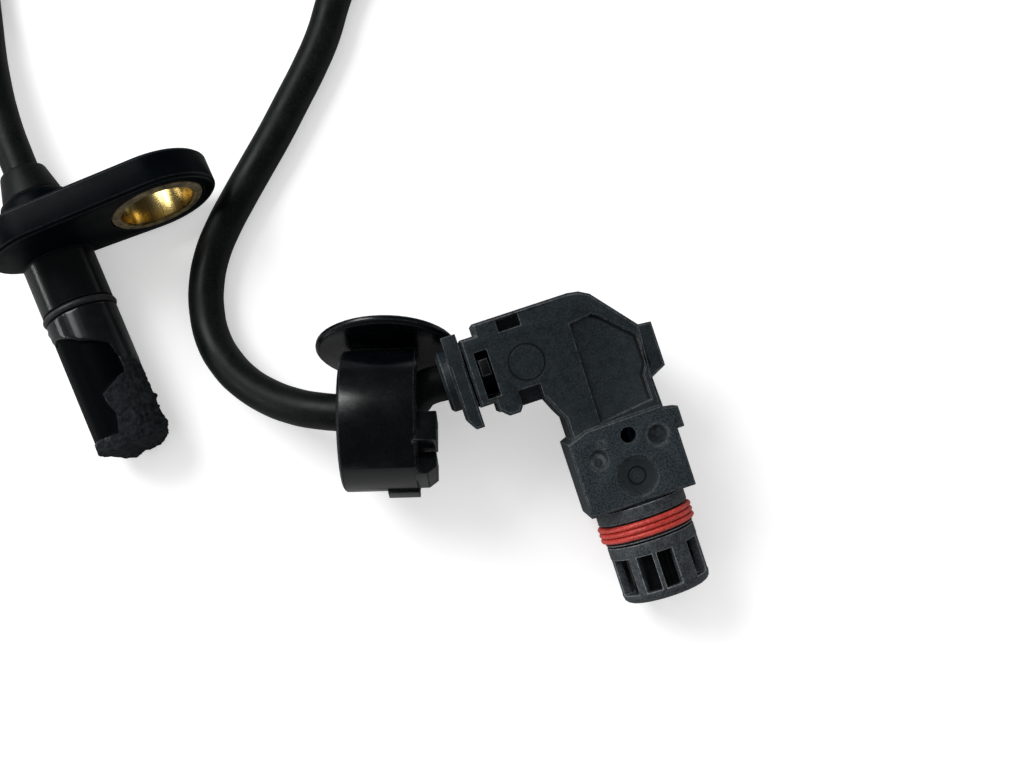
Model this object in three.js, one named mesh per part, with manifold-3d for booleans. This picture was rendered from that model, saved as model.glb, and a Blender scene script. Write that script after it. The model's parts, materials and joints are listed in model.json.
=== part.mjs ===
// Wheel speed sensor with its lead, a cable clip and a right-angle plug.
// Millimetres, +Z up, lying on z = 0 with the probe's tip to -Y and the bolt eye to +X.
import * as THREE from "three";
import { mergeVertices } from "three/addons/utils/BufferGeometryUtils.js";
import Module from "manifold-3d";

const wasm = await Module();
wasm.setup();

// Clearances between neighbours
const FIT = 0.3;
const SEAT = 0.25;

// Sensor head
const PROBE_R = 6;
const PROBE_LENGTH = 34.8;
const RING_STAND = 0.3;
const AXIS_Z = PROBE_R + RING_STAND;
const FLANGE_T = 5.4;
const HUB_R = 8.8;
const HUB_RISE = 7.6;
const EYE_R = 10.2;
const EYE_REACH = 19.4;
const EYE_RISE = 5.6;
const EDGE = 0.5;
const BODY_R = AXIS_Z;
const BODY_TAIL_R = 5.7;
const BODY_LENGTH = 11.6;

// Brass bush in the bolt eye
const BUSH_R = 7.8;
const BUSH_BORE_R = 6.2;
const BUSH_PROUD = 0.2;

// Sealing ring in its groove on the probe
const RING_AT = 9.6;
const RING_WIRE_R = 0.6;
const GROOVE_DEPTH = 1.1;

// Moulded core with the magnetic element
const CORE_R = 4.2;
const CORE_REAR = 6.2;
const CORE_TIP_WALL = 1.6;
const TIP_WALL = 1.8;
const SLOT_W = 4.6;
const SLOT_TOP = 1.4;
const ELEMENT = { w: 3.9, l: 4.2, t: 1.2 };
const MAGNET = { w: 3.8, l: 3.2, t: 2.8 };
const STRIP = { w: 1.1, t: 0.4, pitch: 2.1 };
const CRIMP = { w: 1.6, l: 3.4, t: 1.4 };

// Broken skin on the upper side of the probe, seen from above, beside the probe's axis
const BREAK_DEPTH = 0.7;
const BREAK_EDGE = [
  [-7.5, -12.6], [-4.2, -13.4], [-1.7, -14.9], [-0.6, -15.8], [1.1, -16.4], [3.4, -17.8], [3.9, -20.9],
  [3.9, -22.9], [0.7, -24.7], [-0.5, -25.4], [-0.4, -27.4], [0.3, -29.2], [-0.5, -32.4], [-7.5, -31.2],
];
// Worn end of the probe, seen from above
const WORN_END = [
  [-7.5, -33.2], [-4.7, -33.6], [-3.1, -34.4], [-1.4, -34.8], [0.3, -34.3], [1.8, -34.7], [3.8, -34.5],
  [5.3, -33.9], [7.5, -32.9],
];
// Lumps of baked dirt on the probe: x and y beside its axis, rise above it, radius
const LUMPS = [
  [-5.6, -11.2, 0.4, 0.75],
  [4.7, -28.2, 1.2, 1.9],
  [4.4, -32.2, 0.6, 2.1],
  [2.6, -31.4, 4.3, 1.5],
];

// Lead
const CORD_R = 3;
const CORD_BORE_R = CORD_R + 0.4;
const CORD_SIDES = 10;
const FLOOR_LIFT = 0.05;
const CORD_Z = CORD_R + FLOOR_LIFT;
const WIRE_R = 0.85;
const WIRE_PITCH = 2.2;
const BOOT = { root: 8, end: 17, rootR: 4.6, endR: 3.9 };
const COIL = { x: 46, y: 77, r: 33, layers: 2 };

// Clip on the lead
const CLIP = { x: 38.8, y: -48.5, z: 14.5, yaw: -23, lean: -14 };
const BAND_R = 11.2;
const BAND_T = 1.9;
const BAND_W = 12.2;
const DISC_R = 11.4;
const DISC_T = 1.5;
const DISC_SHIFT = 0.5;
const DISC_RISE = 0.7;
const SLEEVE = { r: 6.4, w: 9, yaw: 9.3, v: 2.3 };

// Right-angle plug: x runs along the lead's arm, -y along the plug
const PLUG = { x: 73.8, y: -49.5, z: 14.8, yaw: -5.9, pitch: 10, roll: 0 };
const ARM_HALF = 7.3;
const ARM_H = 6.3;
const STEM_HALF = 7.5;
const BLOCK_HALF = 8.6;
const BLOCK_H = 7.2;
const BLOCK_TOP_Y = -14;
const BLOCK_END_Y = -27.4;
const NECK_HALF = 5.5;
const NECK_X = -19.5;
const SHOULDER_X = -17;
const ELBOW_X = 8;
const ELBOW_Y = -0.9;
const CHAMFER_X = 0.6;
const ROOF_T = 1.6;
const CHANNEL_HALF = 4.5;
const SLOT = { x0: -18, x1: -15.9, y0: -4.6, y1: 2.9 };
const NOTCH = { x0: -13.2, x1: -9.6, depth: 2.6, w: 1.9 };
const PANEL_DEPTH = 0.7;
const COLLAR = { x0: -22.2, x1: NECK_X - FIT, top: 6.7, ear: 2.9, earZ: 3.6, bottom: -8.5, h: 6.4 };
const STRAIN_X = -23.9;
const STRAIN_R = 5;
const SPIGOT_R = 4.2;
const SPIGOT_X = -14.4;
const GLAND = { x0: -14, x1: -9.8 };
const CORD_END_X = -8.6;

// Plug barrel, seal, contacts and coding basket
const BARREL_R = 7.4;
const INSERT_R = 6;
const INSERT_BORE_R = 5.3;
const INSERT_TOP_Y = -20.8;
const GROOVE_R = 6.3;
const SEAL_TOP_Y = -30;
const SEAL_W = 2.7;
const SEAL_R = 7.95;
const SEAL_RIBS = 3;
const BARREL_END_Y = -33.2;
const SPIGOT_Y = -35.6;
const BASKET_R = 7.4;
const BASKET_T = 1.3;
const BASKET_END_Y = -42.9;
const WINDOW = { y0: -41.3, y1: -36.1, angle: 18, count: 12, turn: -8 };
const CARRIER_R = 5;
const CARRIER_Y0 = -21.4;
const CARRIER_Y1 = -41.7;
const PIN_R = 0.95;
const PIN_HOLE_R = 1.25;

const rad = THREE.MathUtils.degToRad;
const BLACK = [0x17191b, 0.55, 0];

// A closed three.js geometry as a solid that can be joined and cut.
function solid(geometry) {
  const plain = geometry.index ? geometry.toNonIndexed() : geometry.clone();
  plain.deleteAttribute("normal");
  plain.deleteAttribute("uv");
  const merged = mergeVertices(plain, 1e-4);
  return new wasm.Manifold(new wasm.Mesh({
    numProp: 3,
    vertProperties: merged.attributes.position.array,
    triVerts: new Uint32Array(merged.index.array),
  }));
}

function geometryOf(body) {
  const mesh = body.getMesh();
  const geometry = new THREE.BufferGeometry();
  geometry.setAttribute("position", new THREE.BufferAttribute(mesh.vertProperties, 3));
  geometry.setIndex(new THREE.BufferAttribute(mesh.triVerts, 1));
  const flat = geometry.toNonIndexed();
  flat.computeVertexNormals();
  return flat;
}

function join(...geometries) {
  return geometries.map(solid).reduce((a, b) => a.add(b));
}

function cut(base, ...tools) {
  return tools.reduce((a, b) => a.subtract(solid(b)), base);
}

// One named mesh in its own finish.
function part(name, body, [colour, roughness, metalness]) {
  const geometry = body.isBufferGeometry ? body : geometryOf(body);
  const material = new THREE.MeshStandardMaterial({ color: colour, roughness, metalness });
  const mesh = new THREE.Mesh(geometry, material);
  mesh.name = name;
  return mesh;
}

// A box given by its lowest and highest corners.
function box(x0, y0, z0, x1, y1, z1) {
  return new THREE.BoxGeometry(x1 - x0, y1 - y0, z1 - z0)
    .translate((x0 + x1) / 2, (y0 + y1) / 2, (z0 + z1) / 2);
}

// A closed outline of [radius, y] pairs turned about the Y axis, listed up the outside and down the inside.
function turned(profile, sides = 40) {
  const points = profile.map(([r, y]) => new THREE.Vector2(r, y));
  const first = points[0];
  if (first.x > 0 || points[points.length - 1].x > 0) points.push(first.clone());
  return new THREE.LatheGeometry(points, sides);
}

// A round bar along Y from y0 to y1.
function bar(r, y0, y1, sides = 32) {
  return turned([[0, y0], [r, y0], [r, y1], [0, y1]], sides);
}

// A turned piece laid along X instead, +Y becoming +X.
function alongX(geometry) {
  return geometry.rotateZ(-Math.PI / 2);
}

function alongZ(geometry) {
  return geometry.rotateX(Math.PI / 2);
}

// An outline in the XY plane made thick from z0 to z1.
function slab(shape, z0, z1, bevel = 0, curveSegments = 12) {
  return new THREE.ExtrudeGeometry(shape, {
    depth: z1 - z0 - 2 * bevel,
    bevelEnabled: bevel > 0,
    bevelThickness: bevel,
    bevelSize: bevel,
    bevelOffset: -bevel,
    bevelSegments: 1,
    curveSegments,
  }).translate(0, 0, z0 + bevel);
}

function outline(points) {
  return new THREE.Shape(points.map(([x, y]) => new THREE.Vector2(x, y)));
}

// A tube along a smooth curve through points.
function tube(points, r, steps, sides) {
  const section = new THREE.Shape();
  for (let i = 0; i < sides; i++) {
    const a = (2 * Math.PI * i) / sides;
    const x = r * Math.cos(a);
    const y = r * Math.sin(a);
    if (i) section.lineTo(x, y);
    else section.moveTo(x, y);
  }
  const curve = new THREE.CatmullRomCurve3(points, false, "centripetal");
  return new THREE.ExtrudeGeometry(section, { extrudePath: curve, steps });
}

// The flange's outline: the outer hull of the hub's circle and the bolt eye's circle, in x and rise.
function flangeShape() {
  const rise = EYE_RISE - HUB_RISE;
  const reach = Math.hypot(EYE_REACH, rise);
  const along = Math.atan2(rise, EYE_REACH);
  const lean = Math.acos((HUB_R - EYE_R) / reach);
  const shape = new THREE.Shape();
  shape.absarc(0, HUB_RISE, HUB_R, along + lean, along - lean + 2 * Math.PI, false);
  shape.absarc(EYE_REACH, EYE_RISE, EYE_R, along - lean, along + lean, false);
  return shape;
}

// A flat outline of x and rise stood up across the probe, from y0 to y1.
function upright(shape, y0, y1, bevel, curveSegments) {
  return slab(shape, y0, y1, bevel, curveSegments).rotateX(Math.PI / 2).translate(0, y0 + y1, 0);
}

const coreEndY = -PROBE_LENGTH + TIP_WALL;

// Probe, flange and body moulded in one, with the core's bore, the lead's pocket and the broken skin.
function sensorHousing() {
  const flange = upright(flangeShape(), 0, FLANGE_T, EDGE, 16);
  const probe = bar(PROBE_R, -PROBE_LENGTH, FLANGE_T / 2, 40);
  const body = turned([
    [0, EDGE], [BODY_R - 1, EDGE], [BODY_R, FLANGE_T], [BODY_R, FLANGE_T + 2.2],
    [BODY_TAIL_R + 0.5, BODY_LENGTH - 1.2], [BODY_TAIL_R, BODY_LENGTH], [0, BODY_LENGTH],
  ], 40);
  const lumps = LUMPS.map(([x, y, rise, r]) =>
    new THREE.IcosahedronGeometry(r, 1).scale(0.8, 1.25, 1).translate(x, y, rise));
  const whole = join(flange, probe, body, ...lumps);
  const bushHole = bar(BUSH_R + SEAT, -1, FLANGE_T + 1, 48).translate(EYE_REACH, 0, EYE_RISE);
  const coreBore = bar(CORE_R + SEAT, coreEndY - SEAT, CORE_REAR + SEAT, 32);
  const bootBore = bar(BOOT.rootR + SEAT, BOOT.root - SEAT, BODY_LENGTH + 1, 32);
  const leadBore = bar(CORD_BORE_R, CORE_REAR - 1, BOOT.root + 1, 32);
  const groove = turned([
    [PROBE_R - GROOVE_DEPTH, -RING_AT - RING_WIRE_R - 0.15],
    [PROBE_R + 1, -RING_AT - RING_WIRE_R - 0.15],
    [PROBE_R + 1, -RING_AT + RING_WIRE_R + 0.15],
    [PROBE_R - GROOVE_DEPTH, -RING_AT + RING_WIRE_R + 0.15],
  ]);
  const broken = cut(
    solid(slab(outline(BREAK_EDGE), 0, PROBE_R + 3)),
    bar(PROBE_R - BREAK_DEPTH, -PROBE_LENGTH, 0, 40),
  );
  const end = outline([...WORN_END, [9, -PROBE_LENGTH - 5], [-9, -PROBE_LENGTH - 5]].reverse());
  const worn = slab(end, -PROBE_R - 4, PROBE_R + 4);
  return cut(whole, bushHole, coreBore, bootBore, leadBore, groove, worn).subtract(broken);
}

// Brass bush pressed through the eye, with a small chamfer at each mouth.
function boltBush() {
  const low = -BUSH_PROUD;
  const high = FLANGE_T + BUSH_PROUD;
  const lip = 0.35;
  return turned([
    [BUSH_BORE_R, low + lip], [BUSH_BORE_R + lip, low], [BUSH_R - lip, low], [BUSH_R, low + lip],
    [BUSH_R, high - lip], [BUSH_R - lip, high], [BUSH_BORE_R + lip, high], [BUSH_BORE_R, high - lip],
  ], 48).translate(EYE_REACH, 0, EYE_RISE);
}

// Sealing ring: a round section seated in the groove and standing a little proud.
function sealingRing() {
  const centre = PROBE_R + RING_STAND - RING_WIRE_R;
  const section = [];
  for (let i = 0; i < 12; i++) {
    const a = (2 * Math.PI * i) / 12;
    section.push([centre + RING_WIRE_R * Math.cos(a), -RING_AT + RING_WIRE_R * Math.sin(a)]);
  }
  return turned(section, 40);
}

// Core that carries element, magnet and strips in a slot open to below.
function elementCore() {
  const core = bar(CORE_R, coreEndY, CORE_REAR, 32);
  const slot = box(-SLOT_W / 2, coreEndY + CORE_TIP_WALL, -CORE_R - 1, SLOT_W / 2, CORE_REAR + 1, SLOT_TOP);
  return cut(solid(core), slot);
}

// The stack in the core's slot, each piece one clearance below the last.
const slotEndY = coreEndY + CORE_TIP_WALL + FIT;
const elementY1 = slotEndY + ELEMENT.l;
const magnetY1 = elementY1 + FIT + MAGNET.l;
const stackTop = SLOT_TOP - FIT;
const crimpY1 = CORE_REAR - FIT;

function sensingElement() {
  return box(-ELEMENT.w / 2, slotEndY, stackTop - ELEMENT.t, ELEMENT.w / 2, elementY1, stackTop);
}

function biasMagnet() {
  const y0 = elementY1 + FIT;
  return box(-MAGNET.w / 2, y0, stackTop - MAGNET.t, MAGNET.w / 2, magnetY1, stackTop);
}

function leadStrip(side) {
  const x = (side * STRIP.pitch) / 2;
  const y0 = magnetY1 + FIT;
  const y1 = crimpY1 - CRIMP.l - FIT;
  return box(x - STRIP.w / 2, y0, stackTop - STRIP.t, x + STRIP.w / 2, y1, stackTop);
}

function crimp(side) {
  const x = (side * STRIP.pitch) / 2;
  return box(x - CRIMP.w / 2, crimpY1 - CRIMP.l, stackTop - CRIMP.t, x + CRIMP.w / 2, crimpY1, stackTop);
}

// Rubber boot: a taper moulded round the lead where it leaves the body.
function cableBoot() {
  const shoulder = BODY_LENGTH + 0.4;
  return turned([
    [CORD_BORE_R, BOOT.root], [BOOT.rootR, BOOT.root], [BOOT.rootR, BODY_LENGTH + SEAT],
    [BOOT.rootR + 0.5, BODY_LENGTH + FIT], [BOOT.rootR + 0.4, shoulder + 0.6],
    [BOOT.endR + 0.1, BOOT.end - 0.5], [BOOT.endR - 0.1, BOOT.end], [CORD_BORE_R, BOOT.end],
  ], 32);
}

// Coil of the stored length: a ring with the outer shape of its turns.
function coilRing() {
  const inner = COIL.r - CORD_R - FIT;
  const outer = COIL.r + CORD_R + FIT;
  const high = 2 * CORD_R * COIL.layers + FIT;
  const round = 1.6;
  return turned([
    [inner, round], [inner + round, 0], [outer - round, 0], [outer, round],
    [outer, high - round], [outer - round, high], [inner + round, high], [inner, high - round],
  ], 48).rotateX(Math.PI / 2).translate(COIL.x, COIL.y, 0);
}

const at = (x, y, z) => new THREE.Vector3(x, y, z);

// The lead from the boot to the coil.
const HEAD_RUN = [
  at(0, CORE_REAR + 0.6, AXIS_Z), at(0, 12, AXIS_Z), at(0, 19, AXIS_Z), at(0.3, 27, AXIS_Z),
  at(1.4, 36, 5.4), at(3.4, 46, 3.9), at(6, 56, CORD_Z), at(9.05, 64.4, CORD_Z),
];

// Clip: a snap band round the lead on a round foot, with two latch blocks at the band's far edge.
// In its own frame x runs along the lead, y to the foot and z up.
function cableClip() {
  const half = BAND_W / 2;
  const band = alongX(turned([
    [BAND_R - BAND_T, -half], [BAND_R - 0.5, -half], [BAND_R, -half + 0.4],
    [BAND_R, half - 0.4], [BAND_R - 0.5, half], [BAND_R - BAND_T, half],
  ], 40));
  const footY = BAND_R + DISC_RISE;
  const foot = turned([
    [0, footY], [DISC_R - 0.5, footY], [DISC_R, footY + 0.5], [DISC_R, footY + DISC_T - 0.4],
    [DISC_R - 0.6, footY + DISC_T], [0, footY + DISC_T],
  ], 48).translate(DISC_SHIFT, 0, 0);
  const stem = box(-half + 1, BAND_R - 1.5, -4.4, half - 1, footY + 0.4, 1.6);
  const upperLatch = box(half - 0.5, -7, 3.6, half + 3, -2.2, 9);
  const latchRoot = box(half - 0.8, -7.3, 5.2, half, -1.8, 8.8);
  const lowerLatch = slab(outline([
    [half - 0.5, -7.4], [half + 2.8, -7.4], [half + 2.8, -9.9], [half + 1.4, -11], [half - 0.5, -11],
  ].reverse()), -1.5, 5.2);
  const keel = box(0.9, -BAND_R - 0.4, -4.2, half - 0.2, -BAND_R + 1.8, -1.6);
  const gateSlit = box(-half - 1, -BAND_R - 2, -6.4, half + 1, -BAND_R + 4, -5.6);
  return cut(join(band, foot, stem, upperLatch, latchRoot, lowerLatch, keel), gateSlit);
}

// Rubber sleeve that fills the band and grips the lead.
function clipSleeve() {
  const half = SLEEVE.w / 2;
  const waist = 1.4;
  return alongX(turned([
    [CORD_BORE_R, -half], [SLEEVE.r - 0.6, -half], [SLEEVE.r, -half + 0.6], [SLEEVE.r, -waist],
    [SLEEVE.r - 1, 0], [SLEEVE.r, waist], [SLEEVE.r, half - 0.6], [SLEEVE.r - 0.6, half], [CORD_BORE_R, half],
  ], 32));
}

// The elbow's outline seen from above, from the neck round to the block.
function elbowShape() {
  return outline([
    [NECK_X, -NECK_HALF], [SHOULDER_X, -NECK_HALF], [SHOULDER_X, -ARM_HALF + 0.2], [-16.6, -ARM_HALF + 0.2],
    [-15.6, -ARM_HALF - 0.8], [-13.8, -ARM_HALF - 0.8], [-13.2, -ARM_HALF], [-9.4, -ARM_HALF],
    [-8.3, -9.8], [-STEM_HALF, -11.3], [-STEM_HALF, BLOCK_END_Y + 2], [STEM_HALF, BLOCK_END_Y + 2],
    [STEM_HALF, -8.7], [ELBOW_X, ELBOW_Y - 0.6], [ELBOW_X, ELBOW_Y],
    [CHAMFER_X + 1.6, ARM_HALF - 1.2], [CHAMFER_X, ARM_HALF - 0.3], [CHAMFER_X - 1.8, ARM_HALF],
    [SHOULDER_X, ARM_HALF], [SHOULDER_X, NECK_HALF], [NECK_X, NECK_HALF],
  ]);
}

// The wire channel inside the elbow, drawn smaller by a clearance for the lid that closes it.
function channelShape(less) {
  const w = CHANNEL_HALF - less;
  return outline([
    [-9.2 + less, -w], [-w, -w], [-w, INSERT_TOP_Y + less], [w, INSERT_TOP_Y + less],
    [w, -w + 2], [w - 4.5, w], [-9.2 + less, w],
  ]);
}

// Elbow: arm, stem and block moulded in one, with latch windows, a sunk panel and the moulder's marks.
function elbowHousing() {
  const elbow = slab(elbowShape(), -ARM_H, ARM_H, 0.35);
  const blockOutline = outline([
    [-BLOCK_HALF, BLOCK_END_Y], [BLOCK_HALF, BLOCK_END_Y], [BLOCK_HALF, BLOCK_TOP_Y - 2.4],
    [BLOCK_HALF - 1.4, BLOCK_TOP_Y + 0.2], [-BLOCK_HALF + 3.4, BLOCK_TOP_Y], [-BLOCK_HALF, BLOCK_TOP_Y - 1.2],
  ]);
  const block = slab(blockOutline, -BLOCK_H, BLOCK_H, 0.3);
  const upperTab = slab(outline([
    [STEM_HALF - 2, -9.4], [STEM_HALF, -9.4], [STEM_HALF + 2.5, -8.2], [STEM_HALF + 2.5, -1], [STEM_HALF - 2, -0.6],
  ]), 0.6, ARM_H - 0.1, 0.25);
  const lowerTab = slab(outline([
    [BLOCK_HALF - 1, -18.2], [BLOCK_HALF + 1.2, -18.2], [BLOCK_HALF + 1.2, -14.8], [BLOCK_HALF - 1, -14.4],
  ]), 1.4, BLOCK_H - 0.4, 0.2);
  const top = ARM_H + 1;
  const channel = slab(channelShape(0), -BLOCK_H - 1, ARM_H - ROOF_T);
  const throat = alongX(bar(CHANNEL_HALF, NECK_X - 1, -8.8, 32));
  const blockBore = bar(INSERT_R + SEAT, BLOCK_END_Y - 1, INSERT_TOP_Y + 0.3, 36);
  const window = box(SLOT.x0, SLOT.y0, 2, SLOT.x1, SLOT.y1, top);
  const notches = [1, -1].map((side) => {
    const y = side * (ARM_HALF - 0.6);
    const inner = side * (ARM_HALF - NOTCH.w - 0.6);
    const low = Math.min(y, inner) - (side < 0 ? 1 : 0);
    const high = Math.max(y, inner);
    return box(NOTCH.x0, low, ARM_H - NOTCH.depth, NOTCH.x1, high, top);
  });
  const panel = slab(outline([
    [-2.4, 2.6], [-2.6, -13.6], [STEM_HALF - 1.2, -12.6], [STEM_HALF - 1.2, -8.6], [STEM_HALF - 0.3, -7],
    [STEM_HALF - 0.3, -2.2], [2.4, 2.5], [1.4, 3.1],
  ]), ARM_H - PANEL_DEPTH, top);
  const marks = [
    [0.9, -16.7, 1.25, 2.6], [5.3, -18.1, 1.6, 0.5], [-4.7, -19, 1.6, 0.5], [0.3, -23.2, 3.3, 0.4],
  ].map(([x, y, r, depth]) => alongZ(bar(r, BLOCK_H - depth, top + 1, 24)).translate(x, y, 0));
  return cut(
    join(elbow, block, upperTab, lowerTab),
    channel, throat, blockBore, window, ...notches, panel, ...marks,
  );
}

// Lid that closes the wire channel from below.
function elbowLid() {
  return slab(channelShape(SEAT), -ARM_H, -ARM_H + 1.5);
}

// Retainer: strain relief tube and collar plate with a spigot into the arm.
function rearRetainer() {
  const relief = alongX(turned([
    [0, STRAIN_X], [STRAIN_R - 0.5, STRAIN_X], [STRAIN_R, STRAIN_X + 0.5], [STRAIN_R, COLLAR.x0 + 0.5],
    [0, COLLAR.x0 + 0.5],
  ], 32));
  const plate = outline([
    [COLLAR.x0, COLLAR.bottom + 1.6], [COLLAR.x0 + 1, COLLAR.bottom], [COLLAR.x1, COLLAR.bottom],
    [COLLAR.x1, COLLAR.ear], [COLLAR.x0, COLLAR.ear],
  ]);
  const collar = slab(plate, -COLLAR.h, COLLAR.h, 0.3);
  const ear = box(COLLAR.x0, COLLAR.ear - 1, COLLAR.earZ, COLLAR.x1, COLLAR.top, COLLAR.h);
  const spigot = alongX(bar(SPIGOT_R, COLLAR.x1 - 0.5, SPIGOT_X, 32));
  const nose = box(SLOT.x0 + FIT, -1, SPIGOT_R - 1, SLOT.x1 - FIT, 1.6, ARM_H - 0.5);
  const bore = alongX(bar(CORD_BORE_R, STRAIN_X - 1, SPIGOT_X + 1, 32));
  return cut(join(relief, collar, ear, spigot, nose), bore);
}

// Gland: a ribbed rubber ring between lead and arm.
function cableGland() {
  const rib = 0.25;
  const r = CHANNEL_HALF - FIT;
  const middle = (GLAND.x0 + GLAND.x1) / 2;
  return alongX(turned([
    [CORD_BORE_R - 0.1, GLAND.x0], [r, GLAND.x0], [r - rib, GLAND.x0 + 1], [r, middle],
    [r - rib, GLAND.x1 - 1], [r, GLAND.x1], [CORD_BORE_R - 0.1, GLAND.x1],
  ], 32));
}

// Barrel: insert in the block, flange, seal groove and the spigot that carries the basket.
function plugBody() {
  const lipR = SEAL_R - 0.7;
  return turned([
    [INSERT_BORE_R, SPIGOT_Y], [INSERT_R - 0.1, SPIGOT_Y], [INSERT_R - 0.1, BARREL_END_Y], [lipR, BARREL_END_Y],
    [lipR, SEAL_TOP_Y - SEAL_W - FIT], [GROOVE_R, SEAL_TOP_Y - SEAL_W - FIT], [GROOVE_R, SEAL_TOP_Y + FIT],
    [BARREL_R, SEAL_TOP_Y + FIT], [BARREL_R, BLOCK_END_Y - FIT], [INSERT_R, BLOCK_END_Y - FIT],
    [INSERT_R, INSERT_TOP_Y], [INSERT_BORE_R, INSERT_TOP_Y],
  ], 40);
}

// Red seal with round ribs.
function redSeal() {
  const inner = GROOVE_R + FIT;
  const low = SEAL_TOP_Y - SEAL_W;
  const pitch = SEAL_W / SEAL_RIBS;
  const profile = [[inner, low]];
  for (let i = 0; i < SEAL_RIBS; i++) {
    const y = low + pitch * i;
    profile.push([SEAL_R - 0.5, y], [SEAL_R, y + pitch * 0.35], [SEAL_R, y + pitch * 0.65]);
  }
  profile.push([SEAL_R - 0.5, SEAL_TOP_Y], [inner, SEAL_TOP_Y]);
  return turned(profile, 40);
}

// Coding basket: a guard round the contacts with a row of windows.
function codingBasket() {
  const bore = BASKET_R - BASKET_T;
  const shell = turned([
    [bore, BASKET_END_Y], [BASKET_R - 0.9, BASKET_END_Y], [BASKET_R - 0.2, BASKET_END_Y + 0.5],
    [BASKET_R, BASKET_END_Y + 1.3], [BASKET_R, BARREL_END_Y - FIT], [bore, BARREL_END_Y - FIT],
  ], 60);
  const width = 2 * BASKET_R * Math.sin(rad(WINDOW.angle / 2));
  const windows = [];
  for (let i = 0; i < WINDOW.count; i++) {
    const turn = rad((360 / WINDOW.count) * (i + 0.5) + WINDOW.turn);
    windows.push(box(-width / 2, WINDOW.y0, 3, width / 2, WINDOW.y1, BASKET_R + 2).rotateY(turn));
  }
  return cut(solid(shell), ...windows);
}

// Contact carrier with a hole for each contact and a key along one side.
function contactCarrier() {
  const body = bar(CARRIER_R, CARRIER_Y1, CARRIER_Y0, 32);
  const holes = [-1, 1].map((side) =>
    bar(PIN_HOLE_R, CARRIER_Y1 - 1, CARRIER_Y0 + 1, 16).translate(side * WIRE_PITCH, 0, 0));
  const key = box(-0.7, CARRIER_Y1 - 1, CARRIER_R - 0.8, 0.7, CARRIER_Y0 + 1, CARRIER_R + 1);
  return cut(solid(body), ...holes, key);
}

// Contact: a turned socket with a closed rear barrel where its wire is crimped.
function contact(side) {
  return turned([
    [0, CARRIER_Y1 + 5], [0.5, CARRIER_Y1 + 5], [0.5, CARRIER_Y1 + 0.4], [PIN_R, CARRIER_Y1 + 0.4],
    [PIN_R, CARRIER_Y0 - 0.6], [0, CARRIER_Y0 - 0.6],
  ], 16).translate(side * WIRE_PITCH, 0, 0);
}

// Insulated wire from the lead's end round the elbow to its contact.
function plugWire(side) {
  const offset = side * WIRE_PITCH;
  const start = CORD_END_X + FIT;
  return tube([
    at(start, offset * 0.45, 0), at(start + 2, offset * 0.55, 0), at(start + 4.4, offset * 0.6 - 0.3, 0),
    at(-1.4 + offset * 0.7, -2.4 + offset * 0.3, 0), at(offset * 0.95, -6.5, 0), at(offset, -11, 0),
    at(offset, -16, 0), at(offset, CARRIER_Y0 + FIT - 0.4, 0),
  ], WIRE_R, 18, 8);
}

const clip = new THREE.Group();
clip.position.set(CLIP.x, CLIP.y, CLIP.z);
clip.rotation.set(rad(CLIP.lean), 0, rad(CLIP.yaw), "ZXY");
const sleeve = part("clip_sleeve", clipSleeve(), [0x191c1b, 0.7, 0]);
sleeve.rotation.z = rad(SLEEVE.yaw);
sleeve.position.y = SLEEVE.v;
clip.add(part("cable_clip", cableClip(), BLACK), sleeve);
clip.updateMatrixWorld(true);
const inSleeve = (x) => at(x, 0, 0).applyMatrix4(sleeve.matrixWorld);

const plug = new THREE.Group();
plug.position.set(PLUG.x, PLUG.y, PLUG.z);
plug.rotation.set(rad(PLUG.pitch), rad(PLUG.roll), rad(PLUG.yaw), "ZXY");
plug.updateMatrix();
const onArm = (x) => at(x, 0, 0).applyMatrix4(plug.matrix);

// The lead's last stretch runs straight through the retainer and the gland.
const PLUG_RUN = [onArm(STRAIN_X - 0.6), onArm(-22), onArm(-17), onArm(-12), onArm(CORD_END_X)];

// The lead from the coil to the clip.
const TAIL_RUN = [
  at(78.9, 55.5, 8.5), at(77.7, 49.4, 7), at(74, 41.4, 5.2), at(67.8, 33, 3.7), at(60.7, 25.4, CORD_Z),
  at(56.3, 20, CORD_Z), at(51.8, 15.6, CORD_Z), at(46.7, 11.2, CORD_Z), at(41.5, 6.8, CORD_Z),
  at(36.4, 2.8, CORD_Z), at(31.6, -1, CORD_Z), at(27.3, -4.6, CORD_Z), at(23.7, -8.3, CORD_Z),
  at(20.8, -12.7, CORD_Z), at(19, -17.2, CORD_Z), at(18.2, -22.2, 3.6), at(18.9, -27.4, 5),
  at(20.7, -32.1, 7.1), at(23.3, -36.2, 9.2), at(26.5, -39.7, 11.2), at(29.8, -42.3, 12.6),
  inSleeve(-SLEEVE.w / 2), inSleeve(0), inSleeve(SLEEVE.w / 2),
];

const RUBBER = [0x191c1b, 0.7, 0];
const JACKET = [0x1d2522, 0.42, 0];
const PLUG_BLACK = [0x24282b, 0.62, 0];
const METAL = [0xb9a06a, 0.35, 1];
const BRASS = [0xc9a24c, 0.34, 1];
const SILVER = [0xb8b8b4, 0.3, 1];

plug.add(
  part("elbow_housing", elbowHousing(), PLUG_BLACK),
  part("elbow_lid", elbowLid(), PLUG_BLACK),
  part("rear_retainer", rearRetainer(), PLUG_BLACK),
  part("cable_gland", cableGland(), RUBBER),
  part("plug_body", plugBody(), [0x3a3e40, 0.6, 0]),
  part("red_seal", redSeal(), [0xc2241d, 0.4, 0]),
  part("coding_basket", codingBasket(), [0x4a4e50, 0.7, 0]),
  part("contact_carrier", contactCarrier(), PLUG_BLACK),
  part("contact_left", contact(-1), SILVER),
  part("contact_right", contact(1), SILVER),
  part("plug_wire_left", plugWire(-1), [0x3a2418, 0.5, 0]),
  part("plug_wire_right", plugWire(1), [0x1c2f52, 0.5, 0]),
);

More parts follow.
